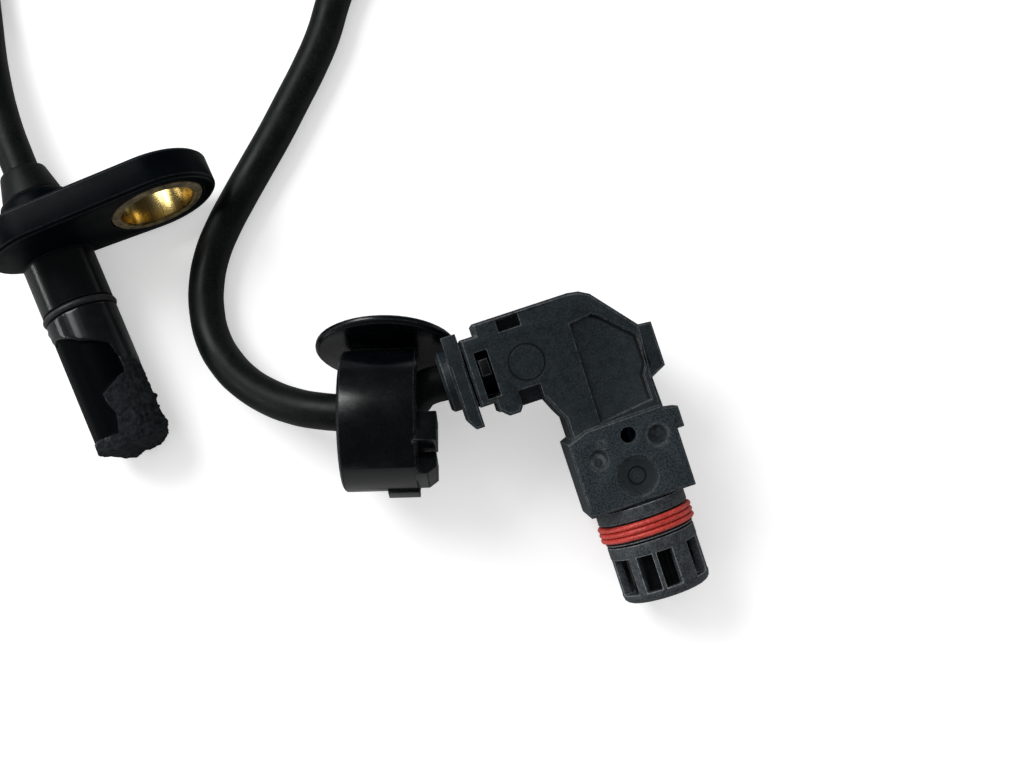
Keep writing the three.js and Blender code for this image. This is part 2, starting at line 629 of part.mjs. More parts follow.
const head = new THREE.Group();
head.position.z = AXIS_Z;
head.add(
  part("sensor_housing", sensorHousing(), BLACK),
  part("bolt_bush", boltBush(), BRASS),
  part("probe_ring", sealingRing(), RUBBER),
  part("element_core", elementCore(), [0x121415, 0.5, 0]),
  part("sensing_element", sensingElement(), [0x20242a, 0.4, 0]),
  part("bias_magnet", biasMagnet(), [0x6e6e70, 0.4, 0.8]),
  part("lead_strip_left", leadStrip(-1), METAL),
  part("lead_strip_right", leadStrip(1), METAL),
  part("crimp_left", crimp(-1), SILVER),
  part("crimp_right", crimp(1), SILVER),
  part("cable_boot", cableBoot(), RUBBER),
);

const lead = new THREE.Group();
lead.add(
  part("lead_head_run", tube(HEAD_RUN, CORD_R, 10, CORD_SIDES), JACKET),
  part("lead_coil", coilRing(), JACKET),
  part("lead_tail_run", tube([...TAIL_RUN, ...PLUG_RUN], CORD_R, 46, CORD_SIDES), JACKET),
);

// The origin is under the middle of the sensor head, on the surface that it lies on.
const sensor = new THREE.Group();
const assembly = new THREE.Group();
assembly.position.set(
  -(EYE_REACH + EYE_R - HUB_R) / 2,
  (PROBE_LENGTH - BOOT.end) / 2,
  0,
);
assembly.add(head, lead, clip, plug);
sensor.add(assembly);

export default sensor;
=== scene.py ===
# %% [markdown]
# A wheel speed sensor lies on a pale table with its lead, a cable clip and a right-angle plug. The
# solids come from the CAD model, and this lesson adds what a camera sees: the long flexible lead,
# softened edges, the worn and crusted probe, and a procedural finish for every piece. Blender counts
# in metres, but the sizes of such a small part are easier to read in millimetres, so the script
# writes them as numbers times MM.

# %% Setup: the frame, and the size of the CAD box
import json
import math
import random

import bmesh
import bpy
from mathutils import Matrix, Vector, noise

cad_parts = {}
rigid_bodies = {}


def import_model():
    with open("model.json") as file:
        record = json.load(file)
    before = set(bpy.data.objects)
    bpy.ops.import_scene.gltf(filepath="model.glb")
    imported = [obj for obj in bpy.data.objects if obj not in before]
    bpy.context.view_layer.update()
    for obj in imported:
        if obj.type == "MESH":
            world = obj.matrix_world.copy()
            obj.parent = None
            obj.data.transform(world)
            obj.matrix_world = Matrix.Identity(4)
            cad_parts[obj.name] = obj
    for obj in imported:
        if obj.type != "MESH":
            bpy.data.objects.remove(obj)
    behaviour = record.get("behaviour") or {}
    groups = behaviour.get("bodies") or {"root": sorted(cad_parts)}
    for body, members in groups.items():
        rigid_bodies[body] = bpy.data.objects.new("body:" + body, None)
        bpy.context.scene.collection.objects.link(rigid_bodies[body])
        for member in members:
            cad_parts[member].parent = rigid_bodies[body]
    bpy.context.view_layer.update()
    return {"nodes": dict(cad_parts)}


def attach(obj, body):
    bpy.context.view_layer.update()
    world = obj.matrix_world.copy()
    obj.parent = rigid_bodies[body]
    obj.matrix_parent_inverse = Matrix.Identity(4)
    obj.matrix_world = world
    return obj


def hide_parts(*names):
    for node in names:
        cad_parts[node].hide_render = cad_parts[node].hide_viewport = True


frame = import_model()
MM = 0.001
print("CAD nodes:", len(frame["nodes"]))

# %% [markdown]
# The camera comes first, because every later choice is judged through it. The photograph was taken
# almost from above, about ten degrees off the vertical and about a quarter of a metre away, so near
# pieces look larger than far ones. The camera is set up by three directions: where it looks,
# which way is right in the picture, and the third that follows from these two.

# %% Camera
def camera_at(place_mm, target_mm, right, lens):
    bpy.ops.object.camera_add()
    camera = bpy.context.object
    back = (Vector(place_mm) - Vector(target_mm)).normalized()
    right = (Vector(right) - back * back.dot(Vector(right))).normalized()
    turn = Matrix((right, back.cross(right), back)).transposed().to_4x4()
    camera.matrix_world = Matrix.Translation(Vector(place_mm) * MM) @ turn
    camera.data.lens = lens
    camera.data.sensor_width = 36
    camera.data.clip_start = 0.01
    bpy.context.scene.camera = camera
    return camera


camera = camera_at((34.21, -76.62, 236.71), (50.64, -40.58, 0), (0.910, -0.415, 0), 49.6)
print("camera at", [round(v, 4) for v in camera.location])

# %% [markdown]
# Head, clip and plug each lie at their own angle on the table. Each could be modelled where it lies, but
# numbers are easier to read along a piece's own axes. So each group gets a matrix, which turns its own
# millimetres into places in the scene. The same matrices later give the finishes their coordinates.

# %% The places of head, clip and plug
def placed(x, y, z, yaw=0.0, pitch=0.0):
    turn = Matrix.Rotation(math.radians(yaw), 4, "Z") @ Matrix.Rotation(math.radians(pitch), 4, "X")
    return Matrix.Translation((x, y, z)) @ turn


GROUPS = {
    "lead": placed(-10.4, 8.9, 0),
    "head": placed(-10.4, 8.9, 6.3),
    "clip": placed(28.4, -39.6, 14.5, -23, -14),
    "plug": placed(63.4, -40.6, 14.8, -5.9, 10),
}
SLEEVE = GROUPS["clip"] @ placed(0, 2.3, 0, 9.3)
print("groups:", {name: [round(c, 1) for c in place.translation] for name, place in GROUPS.items()})

# %% [markdown]
# The lead is one jacketed cable of 6 mm. It leaves the rubber boot behind the head, is stored in a
# coil of one and a half turns, swings across the table in an S and climbs through the clip's sleeve
# into the plug. Its route is a list of points along its centre. The free stretches are listed one by
# one, and the coil is worked out from a circle, so that its turns lie neatly on each other. The second
# layer climbs over the first between two angles, and the cable is lifted a little where the tie is.

# %% The route of the lead
CORD_R = 3.0
CORD_Z = 3.05
COIL_X, COIL_Y, COIL_R = 46, 77, 33
COIL_TURNS, POINTS_PER_TURN = 1.5, 24
LAYER_RISE, CLIMB_FROM, CLIMB_TO = 6.1, 262, 338
TIE_LIFT, TIE_AT = 0.95, 90


def in_group(matrix, *points):
    return [matrix @ Vector(p) for p in points]


def smooth_step(value, low, high):
    t = min(max((value - low) / (high - low), 0), 1)
    return t * t * (3 - 2 * t)


def coil_point(sweep):
    """A point of the coil, sweep degrees after its leftmost point, clockwise as seen from above."""
    angle = math.radians(180 - sweep)
    tied = max(0, math.cos(math.radians(sweep % 360 - TIE_AT))) ** 4 * TIE_LIFT
    rise = LAYER_RISE * smooth_step(sweep, CLIMB_FROM, CLIMB_TO)
    return (COIL_X + COIL_R * math.cos(angle), COIL_Y + COIL_R * math.sin(angle), CORD_Z + rise + tied)


head_run = in_group(
    GROUPS["lead"], (0, 15.5, 6.3), (0, 19, 6.3), (0.3, 27, 6.3), (1.4, 36, 5.4), (3.4, 46, 3.9),
    (6, 56, CORD_Z), (9.05, 64.4, CORD_Z), (11.7, 71, CORD_Z),
)
coil_steps = int(COIL_TURNS * POINTS_PER_TURN)
coil = in_group(GROUPS["lead"], *[coil_point(360 / POINTS_PER_TURN * i) for i in range(coil_steps + 1)])
tail_run = in_group(
    GROUPS["lead"], (79.3, 69.5, 9.1), (79.3, 62, 8.95), (78.9, 55.5, 8.5), (77.7, 49.4, 7), (74, 41.4, 5.2),
    (67.8, 33, 3.7), (60.7, 25.4, CORD_Z), (56.3, 20, CORD_Z), (51.8, 15.6, CORD_Z), (46.7, 11.2, CORD_Z),
    (41.5, 6.8, CORD_Z), (36.4, 2.8, CORD_Z), (31.6, -1, CORD_Z), (27.3, -4.6, CORD_Z), (23.7, -8.3, CORD_Z),
    (20.8, -12.7, CORD_Z), (19, -17.2, CORD_Z), (18.2, -22.2, 3.6), (18.9, -27.4, 5), (20.7, -32.1, 7.1),
    (23.3, -36.2, 9.2), (26.5, -39.7, 11.2), (29.8, -42.3, 12.6),
)
clip_run = in_group(SLEEVE, (-4.5, 0, 0), (0, 0, 0), (4.5, 0, 0))
plug_run = in_group(GROUPS["plug"], (-27.4, 0, 0), (-22, 0, 0), (-17, 0, 0), (-12, 0, 0), (-8.6, 0, 0))
route = head_run + coil + tail_run + clip_run + plug_run


def route_length(points):
    return sum((b - a).length for a, b in zip(points, points[1:]))


print("lead points:", len(route), "length by chords in mm:", round(route_length(route), 1))

# %% [markdown]
# A curve with a round bevel is the natural way to make a cable: its own line is the cable's centre, so
# its length can be added up, and every bend stays round. Automatic handles lead it smoothly through all
# points. The thickness is the bevel depth times the radius of the points. Blender also makes the curve's
# box larger by that radius, so the radius holds the true 3 mm and the depth is 1.

# %% The lead as a curve
def bezier_through(name, points_mm, radius, sides):
    bpy.ops.curve.primitive_bezier_curve_add()
    cord = bpy.context.object
    cord.name = name
    spline = cord.data.splines[0]
    spline.bezier_points.add(len(points_mm) - 2)
    for point, place in zip(spline.bezier_points, points_mm):
        point.co = place * MM
        point.handle_left_type = point.handle_right_type = "AUTO"
        point.radius = radius * MM
    cord.data.resolution_u = 8
    cord.data.bevel_depth = 1
    cord.data.bevel_resolution = sides
    cord.data.use_fill_caps = True
    return cord


lead = bezier_through("lead_cable", route, CORD_R, 6)
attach(lead, "root")
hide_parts("lead_head_run", "lead_coil", "lead_tail_run")
print("points of the curve:", len(lead.data.splines[0].bezier_points))

# %% [markdown]
# A soft tie holds the coil's two layers together. It is a short open tube that is stretched upwards
# in edit mode, so that its ends stay round and its sides become straight, and then made thick.

# %% The tie on the coil
TIE_R, TIE_WIDTH, TIE_WALL = CORD_R + 0.45, 4, 0.5
ROUND_BELOW = math.radians(40)
OUTWARDS, INWARDS = 1, -1


def wall_of(piece, thickness, side):
    wall = piece.modifiers.new("wall", "SOLIDIFY")
    wall.thickness = thickness * MM
    wall.offset = side
    bpy.ops.object.modifier_apply(modifier=wall.name)


def coil_tie():
    bpy.ops.mesh.primitive_cylinder_add(
        vertices=32, radius=TIE_R * MM, depth=TIE_WIDTH * MM, end_fill_type="NOTHING")
    tie = bpy.context.object
    tie.name = "coil_tie"
    bpy.ops.object.mode_set(mode="EDIT")
    bpy.ops.mesh.select_all(action="SELECT")
    bpy.ops.transform.rotate(value=math.pi / 2, orient_axis="Y", center_override=(0, 0, 0))
    mesh = bmesh.from_edit_mesh(tie.data)
    for vertex in mesh.verts:
        vertex.select_set(vertex.co.z > 0)
    bmesh.update_edit_mesh(tie.data)
    mesh.select_flush(False)
    bpy.ops.transform.translate(value=(0, 0, LAYER_RISE * MM))
    bpy.ops.object.mode_set(mode="OBJECT")
    wall_of(tie, TIE_WALL, OUTWARDS)
    tie.location = (GROUPS["lead"] @ Vector((COIL_X, COIL_Y + COIL_R, CORD_Z + TIE_LIFT))) * MM
    bpy.ops.object.transform_apply(location=True, rotation=True, scale=True)
    bpy.ops.object.shade_smooth_by_angle(angle=ROUND_BELOW)
    return tie


tie = coil_tie()
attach(tie, "root")
print("tie faces:", len(tie.data.polygons))

# %% [markdown]
# The moulded pieces need the soft edges that moulding leaves, because a sharp edge catches no light.
# Each one starts as a copy of its CAD mesh: doubled points are merged, flat areas become single faces,
# and a small bevel rounds the sharp edges. The bevel's own faces get a second material slot, which
# later shows the paler edges: rubbed wear of old plastic, and a painted highlight where they catch the
# light. The copy also stores each point's place in its group's own millimetres, so that a finish can be
# drawn on a turned piece.

# %% Helpers that copy a CAD piece and soften its edges
SMOOTH_BELOW, FLAT_BELOW, MERGE_BELOW = math.radians(35), math.radians(0.8), 0.002
looks = {}


def store_local(obj, group):
    back = GROUPS[group].inverted()
    layer = obj.data.attributes.get("mm") or obj.data.attributes.new("mm", "FLOAT_VECTOR", "POINT")
    for vertex, item in zip(obj.data.vertices, layer.data):
        item.vector = back @ (vertex.co / MM)


def copy_of(node, name):
    bpy.ops.object.select_all(action="DESELECT")
    source = frame["nodes"][node]
    source.select_set(True)
    bpy.context.view_layer.objects.active = source
    bpy.ops.object.duplicate()
    piece = bpy.context.object
    piece.name = name
    for key in [k for k in piece.keys() if k.startswith("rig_")]:
        del piece[key]
    bpy.ops.object.parent_clear(type="CLEAR_KEEP_TRANSFORM")
    bpy.ops.object.transform_apply(location=True, rotation=True, scale=True)
    bpy.ops.object.mode_set(mode="EDIT")
    bpy.ops.mesh.select_all(action="SELECT")
    bpy.ops.mesh.remove_doubles(threshold=MERGE_BELOW * MM)
    bpy.ops.mesh.dissolve_limited(angle_limit=FLAT_BELOW)
    bpy.ops.object.mode_set(mode="OBJECT")
    if piece.data.has_custom_normals:
        bpy.ops.mesh.customdata_custom_splitnormals_clear()
    return piece


def empty_slots(piece, count):
    piece.data.materials.clear()
    for _ in range(count):
        piece.data.materials.append(None)


def soften(piece, width, angle=32):
    edge = piece.modifiers.new("edge", "BEVEL")
    edge.width = width * MM
    edge.segments = 2
    edge.limit_method = "ANGLE"
    edge.angle_limit = math.radians(angle)
    edge.use_clamp_overlap = False
    edge.material = 1
    bpy.ops.object.modifier_apply(modifier=edge.name)


def soft_copy(node, group, width):
    piece = copy_of(node, node + "_look")
    empty_slots(piece, 2)
    if width:
        soften(piece, width)
    bpy.ops.object.shade_smooth_by_angle(angle=SMOOTH_BELOW)
    store_local(piece, group)
    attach(piece, "root")
    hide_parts(node)
    looks[node] = piece
    return piece


# %% [markdown]
# Each piece gets the edge that its material would have: crisp on turned brass, wider on moulded rubber,
# and none on the ring, which is round already. The numbers are the widths of the bevels in millimetres.

# %% The soft-edged copies
for node, group, width in [
    ("bolt_bush", "head", 0.08), ("cable_boot", "head", 0.15), ("cable_clip", "clip", 0.12),
    ("clip_sleeve", "clip", 0.12), ("elbow_housing", "plug", 0.13), ("rear_retainer", "plug", 0.12),
    ("elbow_lid", "plug", 0.12), ("plug_body", "plug", 0.1), ("contact_carrier", "plug", 0.1),
    ("probe_ring", "head", 0),
]:
    made = soft_copy(node, group, width)
    print(made.name, "faces:", len(made.data.polygons))

# %% [markdown]
# The probe is worn: part of its smooth skin has broken away, baked dirt forms a grey crust on one side
# of it, and the tip is ragged. Such a surface needs many small faces, and the flange needs none of them.
# The housing is therefore cut in the ring's groove, where the seam can't be seen, and each side is
# finished in its own way.

# %% The flange side and the tip side of the housing
RING_Y = -9.6


def keep_side(piece, keep_tip):
    bpy.context.view_layer.objects.active = piece
    bpy.ops.object.mode_set(mode="EDIT")
    bpy.ops.mesh.select_all(action="SELECT")
    point = GROUPS["head"] @ Vector((0, RING_Y, 0)) * MM
    bpy.ops.mesh.bisect(
        plane_co=point, plane_no=(0, 1, 0), use_fill=True, clear_inner=not keep_tip, clear_outer=keep_tip)
    bpy.ops.object.mode_set(mode="OBJECT")


flange_side = copy_of("sensor_housing", "sensor_housing_look")
keep_side(flange_side, False)
empty_slots(flange_side, 2)
soften(flange_side, 0.14)
bpy.ops.object.shade_smooth_by_angle(angle=SMOOTH_BELOW)
store_local(flange_side, "head")

tip_side = copy_of("sensor_housing", "sensor_tip_look")
keep_side(tip_side, True)
for side in (flange_side, tip_side):
    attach(side, "root")
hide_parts("sensor_housing")
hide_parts("sensor_housing")
print("flange side faces:", len(flange_side.data.polygons))

# %% [markdown]
# Where is the probe rough? A mask could be painted by hand. Here two functions give it for any place on
# the probe: one is 1 in the crust, the other where the skin has broken off. Slow noise makes the
# crust's border wander. Both fade over a few tenths of a millimetre, as the real borders do.

# %% The masks of the crust and of the broken patch
PATCH_R = 5.3


def wobble_at(place):
    return 0.9 * noise.noise(Vector(place) * 0.55) + 0.5 * noise.noise(Vector(place) * 1.7)


def crust_at(place, facing_end=0.0):
    """How rough the probe is at a place in the head's millimetres: 0 on smooth skin, 1 in the crust."""
    x, y, z = place
    wobble = wobble_at(place)
    border = 3.6 - 4.2 * smooth_step(-y, 22.6, 25.2)
    down = smooth_step(-y + wobble, 19.0, 24.4)
    aside = smooth_step(x - border + 0.4 * wobble - 0.5 * max(0, -z), -0.25, 0.5)
    tip = smooth_step(-y - 32.2 + wobble, -0.6, 0.6)
    on_skin = max(down * aside, tip) * smooth_step(math.hypot(x, z), PATCH_R + 0.1, PATCH_R + 0.5)
    on_end = smooth_step(facing_end, 0.45, 0.75) * smooth_step(-y, 31.0, 32.0)
    return max(on_skin, on_end)


def patch_at(place):
    """1 where the skin has broken off, which lies a little deeper than the skin."""
    x, y, z = place
    below = 1 - smooth_step(math.hypot(x, z), PATCH_R + 0.15, PATCH_R + 0.45)
    return below * smooth_step(z, -0.4, 0.2) * smooth_step(-y, 12.2, 12.6)


print("crust at the tip and at the ring:", [round(crust_at((4, y, 4)), 2) for y in (-33, RING_Y)])

# %% [markdown]
# Baked dirt has lumps that stand out of the outline. Noise alone can't make them, because it only moves
# the surface a little. So small flattened balls are strewn over the crust and joined to the tip. The
# random numbers have a fixed start, so the lumps are the same each time.

# %% The pebbles of dirt
PEBBLE_COUNT = 22
random.seed(7)
pebbles = []
while len(pebbles) < PEBBLE_COUNT:
    angle = math.radians(random.uniform(-35, 75))
    y = random.uniform(-33.9, -23)
    rise = random.uniform(5.5, 5.95)
    place = Vector((rise * math.cos(angle), y, rise * math.sin(angle)))
    size = random.uniform(0.3, 0.85) * (0.6 + 0.4 * smooth_step(-y, 24, 31))
    if crust_at(place) > 0.6:
        pebbles.append((place, size))

for place, size in pebbles:
    bpy.ops.mesh.primitive_ico_sphere_add(
        subdivisions=2, radius=size * MM, location=GROUPS["head"] @ place * MM,
        rotation=(place.x, place.y, place.z))
    pebble = bpy.context.object
    pebble.scale = (1, random.uniform(0.8, 1.5), random.uniform(0.6, 0.9))
    pebble.select_set(True)
    tip_side.select_set(True)
    bpy.context.view_layer.objects.active = tip_side
    bpy.ops.object.join()
print("pebbles of dirt:", len(pebbles))

# %% [markdown]
# The tip and its pebbles now become one skin. A voxel remesh gives it small even faces, and a little
# smoothing takes the steps away. Each point then keeps its place and both masks as attributes, which
# the finish reads later. The crust's mask is also a vertex group, for the modifiers of the next step.

# %% One skin for the tip
SKIN_VOXEL = 0.19
skin = tip_side.modifiers.new("skin", "REMESH")
skin.mode = "VOXEL"
skin.voxel_size = SKIN_VOXEL * MM
bpy.ops.object.modifier_apply(modifier=skin.name)
bpy.ops.object.mode_set(mode="EDIT")
bpy.ops.mesh.select_all(action="SELECT")
bpy.ops.mesh.vertices_smooth(factor=0.5, repeat=2)
bpy.ops.object.mode_set(mode="OBJECT")
empty_slots(tip_side, 1)
store_local(tip_side, "head")

places = [item.vector.copy() for item in tip_side.data.attributes["mm"].data]
facing = [-(GROUPS["head"].to_3x3().inverted() @ v.normal).y for v in tip_side.data.vertices]
values = [crust_at(place, end) for place, end in zip(places, facing)]
tip_side.data.attributes.new("crust", "FLOAT", "POINT").data.foreach_set("value", values)
broken_off = [patch_at(place) for place in places]
tip_side.data.attributes.new("patch", "FLOAT", "POINT").data.foreach_set("value", broken_off)
rough_group = tip_side.vertex_groups.new(name="crust")
for index, value in enumerate(values):
    if value > 0.01:
        rough_group.add([index], value, "REPLACE")
print("tip points:", len(places), "of them in the crust:", sum(value > 0.5 for value in values))

# %% [markdown]
# The crust is rough at two sizes: lumps of about a millimetre and grains of half that. Each is one
# Displace modifier with a cloudy texture, held back by the vertex group, so the smooth skin stays smooth.

# %% The roughness of the crust
for name, size, depth in [("coarse", 1.5, 0.5), ("fine", 0.5, 0.3)]:
    texture = bpy.data.textures.new(name, "CLOUDS")
    texture.noise_scale = size * MM
    texture.noise_depth = 2
    push = tip_side.modifiers.new(name, "DISPLACE")
    push.texture = texture
    push.texture_coords = "GLOBAL"
    push.vertex_group = "crust"
    push.strength = depth * MM
    push.mid_level = 0.56
    bpy.ops.object.modifier_apply(modifier=push.name)
bpy.ops.object.shade_smooth()
print("tip faces:", len(tip_side.data.polygons))

# %% [markdown]
# The red seal has three round ribs on a sleeve. The ribs are rings, so each is a torus, and the sleeve
# is a short open tube made thick. They are joined into one piece and turned to the plug's axis.

# %% The red seal
def put_in_place(piece, place):
    piece.matrix_world = Matrix.Translation(place.translation * MM) @ place.to_3x3().to_4x4()
    bpy.ops.object.transform_apply(location=True, rotation=True, scale=True)


SEAL_R, SLEEVE_DEPTH, SEAL_LENGTH, SEAL_WALL, SEAL_MIDDLE_Y = 7.8, 0.75, 2.5, 0.5, -31.35
RIB_R, RIB_PITCH, RIB_FLATNESS = 0.52, 0.9, 0.82


def red_seal():
    bpy.ops.mesh.primitive_cylinder_add(
        vertices=96, radius=(SEAL_R - SLEEVE_DEPTH) * MM, depth=SEAL_LENGTH * MM, end_fill_type="NOTHING")
    seal = bpy.context.object
    seal.name = "red_seal_look"
    wall_of(seal, SEAL_WALL, INWARDS)
    for i in (-1, 0, 1):
        bpy.ops.mesh.primitive_torus_add(
            major_radius=(SEAL_R - RIB_R) * MM, minor_radius=RIB_R * MM, major_segments=96,
            minor_segments=14, location=(0, 0, i * RIB_PITCH * MM))
        bpy.context.object.scale.z = RIB_FLATNESS
        seal.select_set(True)
        bpy.context.view_layer.objects.active = seal
        bpy.ops.object.join()
    put_in_place(seal, GROUPS["plug"] @ placed(0, SEAL_MIDDLE_Y, 0, 0, 90))
    bpy.ops.object.shade_smooth_by_angle(angle=ROUND_BELOW)
    empty_slots(seal, 1)
    store_local(seal, "plug")
    return seal


seal = red_seal()
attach(seal, "root")
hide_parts("red_seal")
looks["red_seal"] = seal
print("seal faces:", len(seal.data.polygons))

# %% [markdown]
# The basket that guards the contacts is a tube with a row of windows. The bars between them differ in
# width, as on the real one. A boolean with a box for each window would do it. A thin tube with a face
# every three degrees is simpler: it is cut round at the ends of the windows, the faces inside each
# window's span are deleted, and the rest gets a wall. The rings at the free end are drawn in, so that
# the end comes out rounded. Spans are in degrees from the plug's upper side.

# %% The windows of the basket
BASKET_R, BASKET_WALL, BASKET_TOP, BASKET_END = 7.2, 1.3, -33.5, -42.9
WINDOW_ROW = (-41.3, -35.5)
WINDOW_SPANS = [
    (-78, -45), (-33, -12), (-6, 15), (39, 63), (75, 99), (129, 150), (159, 180), (189, 219), (249, 273)]
END_RINGS = {
    BASKET_END: BASKET_R - 0.9, -42.65: BASKET_R - 0.45, -42.3: BASKET_R - 0.16, -41.6: BASKET_R}


def is_window(centre):
    angle = math.degrees(math.atan2(centre.x, centre.z))
    in_row = WINDOW_ROW[0] < centre.y / MM < WINDOW_ROW[1]
    return in_row and any(low < angle + turn < high for low, high in WINDOW_SPANS for turn in (0, 360))


print("windows:", len(WINDOW_SPANS))

# %% [markdown]
# The tube is first built along the plug's own axis, where a window is easy to describe, and only then
# turned into its place. The bevel comes after the wall, so that the bars are soft inside and outside.

# %% The basket round the contacts
def basket_round_contacts():
    bpy.ops.mesh.primitive_cylinder_add(
        vertices=120, radius=BASKET_R * MM, depth=(BASKET_TOP - BASKET_END) * MM, end_fill_type="NOTHING")
    basket = bpy.context.object
    basket.name = "coding_basket_look"
    bpy.ops.object.mode_set(mode="EDIT")
    bpy.ops.mesh.select_all(action="SELECT")
    bpy.ops.transform.rotate(value=math.pi / 2, orient_axis="X", center_override=(0, 0, 0))
    bpy.ops.transform.translate(value=(0, (BASKET_TOP + BASKET_END) / 2 * MM, 0))
    for y in (*WINDOW_ROW, *list(END_RINGS)[1:]):
        bpy.ops.mesh.select_all(action="SELECT")
        bpy.ops.mesh.bisect(plane_co=(0, y * MM, 0), plane_no=(0, 1, 0))
    mesh = bmesh.from_edit_mesh(basket.data)
    for vertex in mesh.verts:
        for y, radius in END_RINGS.items():
            if abs(vertex.co.y / MM - y) < 0.02:
                vertex.co.x *= radius / BASKET_R
                vertex.co.z *= radius / BASKET_R
    for face in mesh.faces:
        face.select_set(is_window(face.calc_center_median()))
    bmesh.update_edit_mesh(basket.data)
    bpy.ops.mesh.delete(type="FACE")
    bpy.ops.object.mode_set(mode="OBJECT")
    wall_of(basket, BASKET_WALL, INWARDS)
    empty_slots(basket, 2)
    soften(basket, 0.12, 40)
    put_in_place(basket, GROUPS["plug"])
    bpy.ops.object.shade_smooth_by_angle(angle=SMOOTH_BELOW)
    store_local(basket, "plug")
    return basket


basket = basket_round_contacts()
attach(basket, "root")
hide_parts("coding_basket")
looks["coding_basket"] = basket
print("basket faces:", len(basket.data.polygons))

# %% [markdown]
# A lead of this kind is about 0.6 m long, and a real one has that length however it is laid.

# %% [markdown]
# Some effects come back in many finishes: cloudy mottling, fine grain, a thin ring and a straight line.
# Each becomes a node group that gives only values or a normal, so a finish can use it in its own way.
# Node trees take many lines when every link is written out. These helpers keep them short: most add
# one node, feed it and return what comes out of it.

# %% Helpers for node trees
def add(tree, kind, **settings):
    node = tree.nodes.new(kind)
    for key, value in settings.items():
        setattr(node, key, value)
    return node


def feed(tree, node, values):
    """A value is what comes out of another node, or a plain number, vector or colour."""
    for key, value in values.items():
        if hasattr(value, "links"):
            tree.links.new(value, node.inputs[key])
        elif value is not None:
            node.inputs[key].default_value = value
    return node


def number_from(tree, operation, first, second=None, clamp=False):
    node = add(tree, "ShaderNodeMath", operation=operation, use_clamp=clamp)
    return feed(tree, node, {0: first, 1: second}).outputs[0]


def vector_from(tree, operation, first, second=None):
    node = add(tree, "ShaderNodeVectorMath", operation=operation)
    feed(tree, node, {0: first, "Scale" if operation == "SCALE" else 1: second})
    return node.outputs["Value" if operation in ("LENGTH", "DOT_PRODUCT") else "Vector"]


def ramp_between(tree, source, low, high):
    ramp = add(tree, "ShaderNodeMapRange", interpolation_type="SMOOTHSTEP")
    return feed(tree, ramp, {"Value": source, "From Min": low, "From Max": high}).outputs["Result"]


def noise_from(tree, place, scale, detail, roughness=0.5):
    texture = add(tree, "ShaderNodeTexNoise")
    feed(tree, texture, {"Vector": place, "Scale": scale, "Detail": detail, "Roughness": roughness})
    return texture.outputs["Fac"]


# %% [markdown]
# Old plastic is never one even colour. Mottling gives three values for this: wide clouds, sharp little
# specks and a fine drift between them. They are three noises of different sizes, with more contrast.

# %% Cloudy mottling
VECTOR, NUMBER = "NodeSocketVector", "NodeSocketFloat"


def group_tree(name, inputs, outputs):
    """A node group with its sockets. Inputs have a number as their default, or None for a vector."""
    tree = bpy.data.node_groups.new(name, "ShaderNodeTree")
    for label, default in inputs.items():
        kind = VECTOR if default is None else NUMBER
        socket = tree.interface.new_socket(label, in_out="INPUT", socket_type=kind)
        if default is not None:
            socket.default_value = default
    for label, kind in outputs.items():
        tree.interface.new_socket(label, in_out="OUTPUT", socket_type=kind)
    return tree, tree.nodes.new("NodeGroupInput"), tree.nodes.new("NodeGroupOutput")


def make_mottle():
    tree, inside, outside = group_tree(
        "Mottle", {"Vector": None, "Scale": 0.3}, {"Clouds": NUMBER, "Specks": NUMBER, "Fine": NUMBER})
    place, scale = inside.outputs["Vector"], inside.outputs["Scale"]
    clouds = noise_from(tree, place, scale, 6, 0.62)
    specks = noise_from(tree, place, number_from(tree, "MULTIPLY", scale, 9), 2)
    fine = noise_from(tree, place, 3.6, 3)
    feed(tree, outside, {
        "Clouds": ramp_between(tree, clouds, 0.3, 0.7), "Specks": ramp_between(tree, specks, 0.62, 0.74),
        "Fine": ramp_between(tree, fine, 0.34, 0.66)})
    return tree


MOTTLE = make_mottle()
print("mottle nodes:", len(MOTTLE.nodes))

# %% [markdown]
# A moulded surface has a grain too fine to model. A bump node tilts the normal by a fine noise, as if
# the surface went up and down by a twentieth of a millimetre.

# %% Fine grain
GRAIN_DEPTH = 0.05


def make_grain():
    tree, inside, outside = group_tree(
        "Grain", {"Vector": None, "Scale": 4.0, "Strength": 0.2}, {"Normal": VECTOR})
    height = noise_from(tree, inside.outputs["Vector"], inside.outputs["Scale"], 3)
    bump = add(tree, "ShaderNodeBump")
    feed(tree, bump, {
        "Height": height, "Strength": inside.outputs["Strength"], "Distance": GRAIN_DEPTH * MM})
    feed(tree, outside, {"Normal": bump.outputs["Normal"]})
    return tree


GRAIN = make_grain()
print("grain nodes:", len(GRAIN.nodes))

# %% [markdown]
# Round marks and straight lines could be painted on an image. Drawn by their distance from a centre or
# from a line they stay sharp at any size. Height is left out of the distance, so they reach down into
# recesses as a stamp would.

# %% A ring and a straight line
FROM_ABOVE = (1, 1, 0)


def make_ring_mark():
    tree, inside, outside = group_tree(
        "RingMark", {"Vector": None, "Centre": None, "Radius": 2.8, "Width": 0.16}, {"Mask": NUMBER})
    offset = vector_from(tree, "SUBTRACT", inside.outputs["Vector"], inside.outputs["Centre"])
    distance = vector_from(tree, "LENGTH", vector_from(tree, "MULTIPLY", offset, FROM_ABOVE))
    off_ring = number_from(tree, "SUBTRACT", distance, inside.outputs["Radius"])
    share = number_from(tree, "DIVIDE", number_from(tree, "ABSOLUTE", off_ring), inside.outputs["Width"])
    feed(tree, outside, {"Mask": ramp_between(tree, share, 1.0, 0.4)})
    return tree


